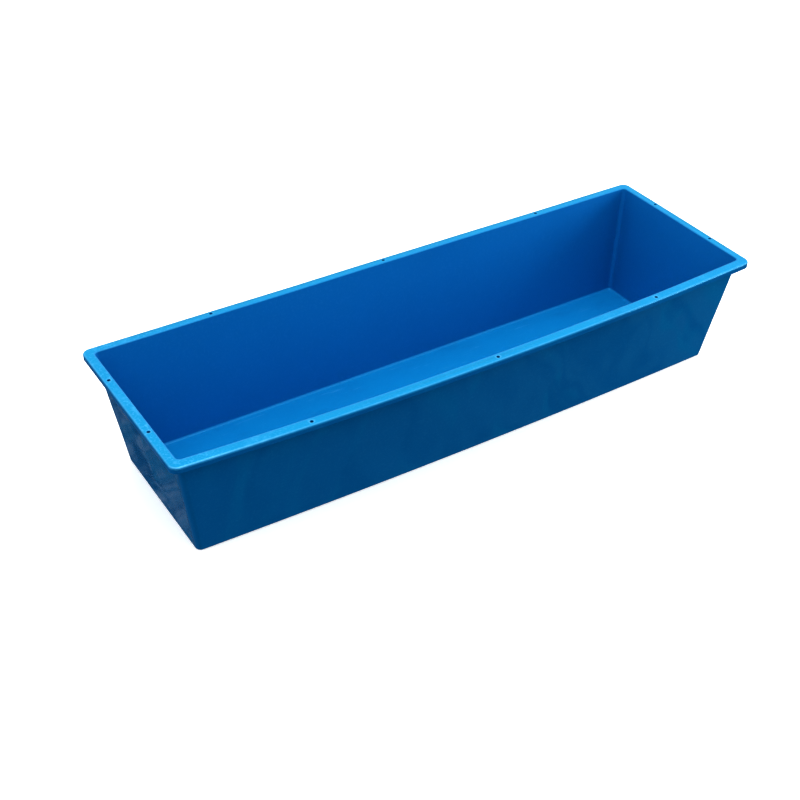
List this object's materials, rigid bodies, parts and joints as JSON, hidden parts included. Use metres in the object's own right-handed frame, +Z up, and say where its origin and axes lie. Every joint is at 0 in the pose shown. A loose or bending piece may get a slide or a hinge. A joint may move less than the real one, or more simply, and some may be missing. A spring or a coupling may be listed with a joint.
{
  "type": "livestock trough",
  "caption": "Long open-topped rectangular trough in one moulding, with walls tapering to a flat base and a turned-down rim flange pierced by small holes.",
  "frame": {"origin": "on the resting plane, at the centre of the nominal 910 x 235 mm base rectangle", "axes": "+X along the length, +Y towards the straight long side, +Z up through the open top; the bulged long side faces -Y"},
  "size_m": [0.985, 0.3209, 0.185],
  "materials": {
    "blue_plastic": "gloss outside, satin inside"
  },
  "bodies": {
    "root": {"trough": "blue_plastic"}
  },
  "joints": []
}
